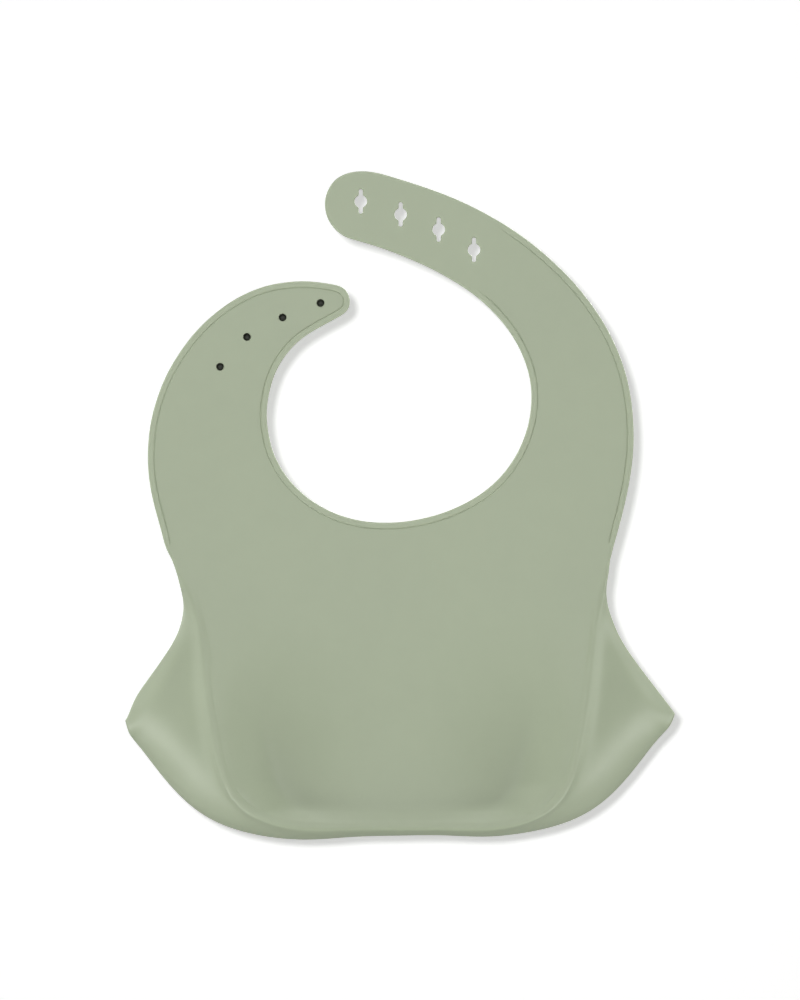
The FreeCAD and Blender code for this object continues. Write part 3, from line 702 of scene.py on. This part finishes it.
bm = bmesh.new()
lay_n = bm.verts.layers.float_vector.new("gn")
lay_p = bm.verts.layers.float.new("pit")
lay_e = bm.verts.layers.float.new("edge")
bv = []
for v, n, pm, em in zip(verts, N, pit, edge_attr):
    w = bm.verts.new((v[0], v[1], v[2]))
    w[lay_n] = Vector(n)
    w[lay_p] = pm
    w[lay_e] = em
    bv.append(w)
for F in (tris, quads_all):
    for f in F:
        try:
            bm.faces.new([bv[i] for i in f])
        except ValueError:
            pass
bm.faces.ensure_lookup_table()
print("edges not shared by two faces:", sum(1 for e in bm.edges if len(e.link_faces) != 2),
      "badly wound:", sum(1 for e in bm.edges if len(e.link_faces) == 2 and not e.is_contiguous))


def strap_of(x, z):
    """0 chest and pocket, 1 stud strap, 2 keyhole strap, before the first flex line is applied."""
    if z < -20:
        return 0
    if x > 15 and z < 52:
        return 1
    if x < -15 or z > 52:
        return 2
    return 0


def cut(which, point, normal, reach):
    """Splits the faces of one strap, near a plane, along the plane."""
    p3, n3 = Vector((point[0], 0, point[1])), Vector((normal[0], 0, normal[1]))
    geom = []
    for f in bm.faces:
        c = f.calc_center_median()
        if abs((c - p3).dot(n3)) < reach and (which == 3 or strap_of(c.x, c.z) == which):
            geom.append(f)
    edges = {e for f in geom for e in f.edges}
    vs = {v for f in geom for v in f.verts}
    bmesh.ops.bisect_plane(bm, geom=list(vs) + list(edges) + geom, dist=1e-4, plane_co=p3, plane_no=n3, clear_inner=False, clear_outer=False)


for which, lines in ((1, stud_flex), (2, key_flex)):
    for p, n in lines:
        cut(which, p - n * DELTA, n, 6.0)
cut(3, (0.0, WAIST_CUT), (0.0, 1.0), 8.0)

pieces = {}


def piece_of(c):
    w = strap_of(c.x, c.z)
    if w:
        lines = stud_flex if w == 1 else key_flex
        k = -1
        for i, (p, n) in enumerate(lines):
            if (np.array([c.x, c.z]) - (p - n * DELTA)) @ n > 0:
                k = i
        if k >= 0:
            return ("stud_strap_part_%d" if w == 1 else "keyhole_strap_part_%d") % (k + 1)
    return "chest_sheet" if c.z > WAIST_CUT else "catch_pocket"


for f in bm.faces:
    pieces.setdefault(piece_of(f.calc_center_median()), []).append(f)
print({k: len(v) for k, v in pieces.items()})

# ------------------------------------------------------------------ silicone
SAGE = (0.378, 0.433, 0.305)


def silicone():
    mat = bpy.data.materials.new("sage_silicone")
    mat.use_nodes = True
    nt_ = mat.node_tree
    nd, lk = nt_.nodes, nt_.links
    nd.clear()
    outp = nd.new("ShaderNodeOutputMaterial")
    bsdf = nd.new("ShaderNodeBsdfPrincipled")
    lk.new(bsdf.outputs[0], outp.inputs[0])
    rest = nd.new("ShaderNodeAttribute")
    rest.attribute_name = "rest_co"
    pit_shade_a = nd.new("ShaderNodeAttribute")
    pit_shade_a.attribute_name = "pit"
    edge_highlight_a = nd.new("ShaderNodeAttribute")
    edge_highlight_a.attribute_name = "edge"

    def noise(scale, detail, rough=0.5):
        n = nd.new("ShaderNodeTexNoise")
        n.inputs["Scale"].default_value = scale
        n.inputs["Detail"].default_value = detail
        n.inputs["Roughness"].default_value = rough
        lk.new(rest.outputs["Vector"], n.inputs["Vector"])
        return n

    def mapped(src, a, b, lo=0.0, hi=1.0):
        m = nd.new("ShaderNodeMapRange")
        m.inputs[1].default_value, m.inputs[2].default_value = lo, hi
        m.inputs[3].default_value, m.inputs[4].default_value = a, b
        lk.new(src, m.inputs[0])
        return m.outputs[0]

    def math_(op, a, b):
        m = nd.new("ShaderNodeMath")
        m.operation = op
        for i, s in enumerate((a, b)):
            if isinstance(s, (int, float)):
                m.inputs[i].default_value = s
            else:
                lk.new(s, m.inputs[i])
        return m.outputs[0]

    cloud = noise(14.0, 3.0)
    fine_n = noise(120.0, 4.0, 0.6)
    grain = noise(1500.0, 2.0)
    micro = noise(5200.0, 1.0)
    tone_and_highlight = math_("ADD", mapped(cloud.outputs[0], -0.028, 0.028, 0.3, 0.7), mapped(fine_n.outputs[0], -0.010, 0.010, 0.3, 0.7))
    tone_and_highlight = math_("ADD", tone_and_highlight, mapped(micro.outputs[0], -0.006, 0.006, 0.3, 0.7))
    # painted highlight: up to 5% lighter colour near the edges and on the bead
    tone_and_highlight = math_("ADD", tone_and_highlight, math_("MULTIPLY", edge_highlight_a.outputs["Fac"], 0.05))
    # painted shade: the marked pit walls' colour is darkened by 80% to stand in for the shade in the pits
    gain = math_("MULTIPLY", math_("ADD", tone_and_highlight, 1.0), math_("SUBTRACT", 1.0, math_("MULTIPLY", pit_shade_a.outputs["Fac"], 0.80)))
    # painted shade: faces turned downwards get a darker colour and a weaker reflection, standing in for the table's
    # shadow
    geo_n = nd.new("ShaderNodeNewGeometry")
    underside_shade_normal = nd.new("ShaderNodeSeparateXYZ")
    lk.new(geo_n.outputs["Normal"], underside_shade_normal.inputs[0])
    gain = math_("MULTIPLY", gain, mapped(underside_shade_normal.outputs[2], 0.86, 1.0, -1.0, -0.7))
    lk.new(mapped(underside_shade_normal.outputs[2], 0.06, 0.5, -0.95, -0.6), bsdf.inputs["Specular IOR Level"])
    base = nd.new("ShaderNodeRGB")
    base.outputs[0].default_value = (*SAGE, 1)
    col = nd.new("ShaderNodeVectorMath")
    col.operation = "SCALE"
    lk.new(base.outputs[0], col.inputs[0])
    lk.new(gain, col.inputs["Scale"])
    lk.new(col.outputs[0], bsdf.inputs["Base Color"])
    rough = math_("ADD", mapped(cloud.outputs[0], 0.41, 0.48, 0.3, 0.7), mapped(grain.outputs[0], -0.03, 0.03, 0.3, 0.7))
    lk.new(rough, bsdf.inputs["Roughness"])
    bsdf.inputs["IOR"].default_value = 1.47
    bsdf.inputs["Sheen Weight"].default_value = 0.06
    bsdf.inputs["Sheen Roughness"].default_value = 0.5
    b1 = nd.new("ShaderNodeBump")
    b1.inputs["Strength"].default_value = 0.35
    b1.inputs["Distance"].default_value = 0.00003
    lk.new(grain.outputs[0], b1.inputs["Height"])
    b2 = nd.new("ShaderNodeBump")
    b2.inputs["Strength"].default_value = 0.5
    b2.inputs["Distance"].default_value = 0.0004
    lk.new(fine_n.outputs[0], b2.inputs["Height"])
    b2.inputs["Strength"].default_value = 0.12
    lk.new(b2.outputs[0], b1.inputs["Normal"])
    lk.new(b1.outputs[0], bsdf.inputs["Normal"])
    return mat


MAT = silicone()


def make_piece(name, faces):
    """A closed mesh of one piece: its share of the surface, with flat caps where it was cut."""
    ids, order = {}, []
    for f in faces:
        for v in f.verts:
            if v not in ids:
                ids[v] = len(order)
                order.append(v)
    pb = bmesh.new()
    ln = pb.verts.layers.float_vector.new("gn")
    lp = pb.verts.layers.float.new("pit")
    le = pb.verts.layers.float.new("edge")
    vs = []
    for v in order:
        w = pb.verts.new(v.co)
        w[ln], w[lp], w[le] = v[lay_n], v[lay_p], v[lay_e]
        vs.append(w)
    for f in faces:
        nf = pb.faces.new([vs[ids[v]] for v in f.verts])
        nf.smooth = True
    n_body = len(pb.faces)
    open_edges = [e for e in pb.edges if len(e.link_faces) == 1]
    groups, seen = [], set()
    for e in open_edges:
        if e in seen:
            continue
        loop, stack = [], [e]
        seen.add(e)
        while stack:
            q = stack.pop()
            loop.append(q)
            for v in q.verts:
                for k in v.link_edges:
                    if len(k.link_faces) == 1 and k not in seen:
                        seen.add(k)
                        stack.append(k)
        groups.append(loop)
    for loop in groups:
        try:
            bmesh.ops.triangle_fill(pb, use_beauty=True, use_dissolve=False, edges=loop)
        except Exception as err:
            print("cap failed on", name, err)
    still = sum(1 for e in pb.edges if len(e.link_faces) == 1)
    caps = [f for f in pb.faces if f.index == -1 or not f.smooth]
    # caps face away from the piece
    pb.normal_update()
    body_c = Vector((0, 0, 0))
    for v in pb.verts:
        body_c += v.co
    body_c /= len(pb.verts)
    for f in caps:
        for e in f.edges:
            other = [k for k in e.link_faces if k.smooth]
            if other:
                lo, lf = None, None
                for l in e.link_loops:
                    if l.face is f:
                        lf = l
                    elif l.face is other[0]:
                        lo = l
                if lf and lo and lf.vert is lo.vert:
                    f.normal_flip()
                break
    bmesh.ops.recalc_face_normals(pb, faces=pb.faces[:]) if still == 0 else None
    pb.verts.ensure_lookup_table()
    pb.faces.ensure_lookup_table()
    for v in pb.verts:
        v.co = v.co * MM
    me = bpy.data.meshes.new(name)
    pb.to_mesh(me)
    pb.free()
    gn = np.zeros(len(me.vertices) * 3, np.float32)
    me.attributes["gn"].data.foreach_get("vector", gn)
    gn = gn.reshape(-1, 3)
    co = np.zeros(len(me.vertices) * 3, np.float32)
    me.vertices.foreach_get("co", co)
    at = me.attributes.new("rest_co", "FLOAT_VECTOR", "POINT")
    at.data.foreach_set("vector", co)
    loops_v = np.zeros(len(me.loops), np.int32)
    me.loops.foreach_get("vertex_index", loops_v)
    start = np.zeros(len(me.polygons), np.int32)
    total = np.zeros(len(me.polygons), np.int32)
    smooth = np.zeros(len(me.polygons), bool)
    fn = np.zeros(len(me.polygons) * 3, np.float32)
    me.polygons.foreach_get("loop_start", start)
    me.polygons.foreach_get("loop_total", total)
    me.polygons.foreach_get("use_smooth", smooth)
    me.polygons.foreach_get("normal", fn)
    face_of = np.repeat(np.arange(len(start)), total)
    ln_ = gn[loops_v]
    ln_ /= np.linalg.norm(ln_, axis=1)[:, None] + 1e-9
    fn = fn.reshape(-1, 3)
    flat = ~smooth[face_of]
    ln_[flat] = fn[face_of][flat]
    me.attributes.remove(me.attributes["gn"])
    me.normals_split_custom_set(ln_.tolist())
    me.materials.append(MAT)
    ob = bpy.data.objects.new(name, me)
    bpy.context.scene.collection.objects.link(ob)
    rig.slot(ob, "silicone")
    print(name, "faces", len(me.polygons), "open edges left", still, "caps", int((~smooth).sum()))
    return ob


objs = {n: make_piece(n, f) for n, f in pieces.items()}
bm.free()


def p3(p, y=0.0):
    return (p[0] * MM, y * MM, p[1] * MM)


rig.blend(objs["chest_sheet"], "chest_panel", "lower_panel", start=(0, 0, -0.066), end=(0, 0, -0.090))
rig.replaces(objs["chest_sheet"], "chest_panel")
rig.blend(objs["catch_pocket"], "lower_panel", "pocket_front", start=(0, -0.008, -0.19), end=(0, -0.036, -0.19))
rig.replaces(objs["catch_pocket"], "lower_panel", "pocket_floor", "pocket_front_wall", "pocket_gusset_left", "pocket_gusset_right")
for kind, lines, names in (("stud", stud_flex, "stud_strap_part_%d"), ("keyhole", key_flex, "keyhole_strap_part_%d")):
    for i, (p, n) in enumerate(lines):
        ob = objs[names % (i + 1)]
        parent = "chest_panel" if i == 0 else "%s_strap_segment_%d" % (kind, i)
        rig.blend(ob, parent, "%s_strap_segment_%d" % (kind, i + 1), start=p3(p - n * DELTA), end=p3(p + n * DELTA))
        nodes = ["%s_strap_segment_%d" % (kind, i + 1)]
        if kind == "stud" and i > 0:
            nodes.append("stud_%d" % (5 - i))
        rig.replaces(ob, *nodes)

vis_lo, vis_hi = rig.bounds()

# ------------------------------------------------------------------ stage
def plain(name, rgb, emit):
    mat = bpy.data.materials.new(name)
    mat.use_nodes = True
    nd, lk = mat.node_tree.nodes, mat.node_tree.links
    nd.clear()
    o = nd.new("ShaderNodeOutputMaterial")
    d = nd.new("ShaderNodeBsdfDiffuse")
    d.inputs[0].default_value = (*rgb, 1)
    e = nd.new("ShaderNodeEmission")
    e.inputs[0].default_value = (1, 1, 1, 1)
    e.inputs[1].default_value = emit
    a = nd.new("ShaderNodeAddShader")
    lk.new(d.outputs[0], a.inputs[0])
    lk.new(e.outputs[0], a.inputs[1])
    lk.new(a.outputs[0], o.inputs[0])
    return mat, nd, lk, a, o


def quad(name, corners, mat):
    me = bpy.data.meshes.new(name)
    me.from_pydata(corners, [], [(0, 1, 2, 3)])
    me.materials.append(mat)
    ob = bpy.data.objects.new(name, me)
    bpy.context.scene.collection.objects.link(ob)
    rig.stage(ob)
    return ob


FLOOR_Z = vis_lo.z - 0.0006
floor_mat, nd, lk, lit, outp = plain("floor_white", (0.8, 0.8, 0.8), 0.42)
geo = nd.new("ShaderNodeNewGeometry")
sepn = nd.new("ShaderNodeSeparateXYZ")
lk.new(geo.outputs["Incoming"], sepn.inputs[0])
steep = nd.new("ShaderNodeMapRange")
steep.inputs[1].default_value, steep.inputs[2].default_value = 0.13, 0.24
lk.new(sepn.outputs[2], steep.inputs[0])
tr = nd.new("ShaderNodeBsdfTransparent")
mx = nd.new("ShaderNodeMixShader")
lk.new(steep.outputs[0], mx.inputs[0])
lk.new(tr.outputs[0], mx.inputs[1])
lk.new(lit.outputs[0], mx.inputs[2])
lk.new(mx.outputs[0], outp.inputs[0])
floor = quad("studio_floor", [(-6, -6, FLOOR_Z), (6, -6, FLOOR_Z), (6, 6, FLOOR_Z), (-6, 6, FLOOR_Z)], floor_mat)
floor.visible_diffuse = False
floor.visible_glossy = False
floor.visible_shadow = False

wall_mat, nd, lk, lit, outp = plain("backdrop_white", (0.8, 0.8, 0.8), 0.53)
geo = nd.new("ShaderNodeNewGeometry")
dot = nd.new("ShaderNodeVectorMath")
dot.operation = "DOT_PRODUCT"
dot.inputs[1].default_value = (0, 1, 0)
lk.new(geo.outputs["Incoming"], dot.inputs[0])
gt = nd.new("ShaderNodeMath")
gt.operation = "GREATER_THAN"
gt.inputs[1].default_value = 0.93
lk.new(dot.outputs["Value"], gt.inputs[0])
tr = nd.new("ShaderNodeBsdfTransparent")
mx = nd.new("ShaderNodeMixShader")
lk.new(gt.outputs[0], mx.inputs[0])
lk.new(tr.outputs[0], mx.inputs[1])
lk.new(lit.outputs[0], mx.inputs[2])
lk.new(mx.outputs[0], outp.inputs[0])
WALL_Y = -0.165
wall = quad("studio_backdrop", [(3, WALL_Y, -3), (-3, WALL_Y, -3), (-3, WALL_Y, 3), (3, WALL_Y, 3)], wall_mat)
wall.visible_diffuse = False
wall.visible_glossy = False
wall.visible_shadow = False

# ------------------------------------------------------------------ light
world = bpy.data.worlds.new("studio")
bpy.context.scene.world = world
world.use_nodes = True
nd, lk = world.node_tree.nodes, world.node_tree.links
nd.clear()
wo = nd.new("ShaderNodeOutputWorld")
bg = nd.new("ShaderNodeBackground")
bg.inputs[0].default_value = (1, 1, 1, 1)
lk.new(bg.outputs[0], wo.inputs[0])
tc_ = nd.new("ShaderNodeTexCoord")
sep = nd.new("ShaderNodeSeparateXYZ")
lk.new(tc_.outputs["Generated"], sep.inputs[0])
mr = nd.new("ShaderNodeMapRange")
mr.inputs[1].default_value, mr.inputs[2].default_value = -1.0, 1.0
mr.inputs[3].default_value, mr.inputs[4].default_value = 0.08, 0.112
lk.new(sep.outputs[2], mr.inputs[0])
lp_ = nd.new("ShaderNodeLightPath")
mixv = nd.new("ShaderNodeMix")
mixv.data_type = "FLOAT"
lk.new(lp_.outputs["Is Camera Ray"], mixv.inputs[0])
lk.new(mr.outputs[0], mixv.inputs[2])
mixv.inputs[3].default_value = 1.0
lk.new(mixv.outputs[0], bg.inputs[1])


not_wall = bpy.data.collections.new("lit_by_softboxes")
bpy.context.scene.collection.children.link(not_wall)
not_wall.objects.link(wall)
not_wall.collection_objects[0].light_linking.link_state = "EXCLUDE"


def area(name, loc, target, size, power, colour=(1, 1, 1)):
    li = bpy.data.lights.new(name, "AREA")
    li.shape = "RECTANGLE"
    li.size, li.size_y = size
    li.energy = power
    li.color = colour
    ob = bpy.data.objects.new(name, li)
    ob.location = loc
    ob.rotation_euler = (Vector(target) - Vector(loc)).to_track_quat("-Z", "Y").to_euler()
    ob.light_linking.receiver_collection = not_wall
    bpy.context.scene.collection.objects.link(ob)
    return ob


mid_t = (0, -0.02, -0.05)


def softbox(name, tilt, turn, power):
    """A square softbox on the back's side: tilt from the viewing axis, turn from image right, anticlockwise."""
    t, p = math.radians(tilt), math.radians(turn)
    d = Vector((-math.sin(t) * math.cos(p), math.cos(t), math.sin(t) * math.sin(p)))
    area(name, Vector(mid_t) + d * 1.9, mid_t, (1.0, 1.0), power)


softbox("front", 0, 0, 9.4)
softbox("front_top", 35, 90, 7.2)
softbox("upper_left", 60, 135, 5.2)
softbox("lower_left", 75, 225, 19.6)
softbox("lower_right", 75, 315, 16.5)
softbox("edge_right", 82, 0, 11.0)
softbox("edge_left", 82, 180, 6.2)
softbox("edge_top", 82, 90, 16.2)
area("rear_left", (-1.1, -1.6, 0.9), mid_t, (1.2, 1.2), 36.0)
area("rear_right", (1.4, -1.3, 0.4), mid_t, (1.0, 1.2), 18.0)

# ------------------------------------------------------------------ camera
DIST = 1.8
cam_d = bpy.data.cameras.new("camera")
cam = bpy.data.objects.new("camera", cam_d)
bpy.context.scene.collection.objects.link(cam)
cam_d.sensor_width = 36.0
cam_d.lens = 36.0 * DIST / 0.430
cam.location = (-0.001075, DIST, -0.047085)
cam.rotation_euler = (math.radians(90), 0, math.radians(180))
cam_d.clip_start, cam_d.clip_end = 0.05, 50
bpy.context.scene.camera = cam

drop = bpy.data.lights.new("drop_shadow", "POINT")
drop.shadow_soft_size = 0.02
drop.energy = 77.0
drop_ob = bpy.data.objects.new("drop_shadow", drop)
drop_ob.location = (cam.location.x + 0.040, DIST, cam.location.z + 0.036)
bpy.context.scene.collection.objects.link(drop_ob)
only = bpy.data.collections.new("drop_shadow_receivers")
bpy.context.scene.collection.children.link(only)
only.objects.link(wall)
only.objects.link(floor)
drop_ob.light_linking.receiver_collection = only

bpy.context.scene.view_settings.view_transform = "Standard"
bpy.context.scene.view_settings.look = "None"

with open("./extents.json", "w") as fh:
    lo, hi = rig.bounds()
    json.dump({"cad": [list(cad_lo), list(cad_hi)], "visual": [list(lo), list(hi)]}, fh)
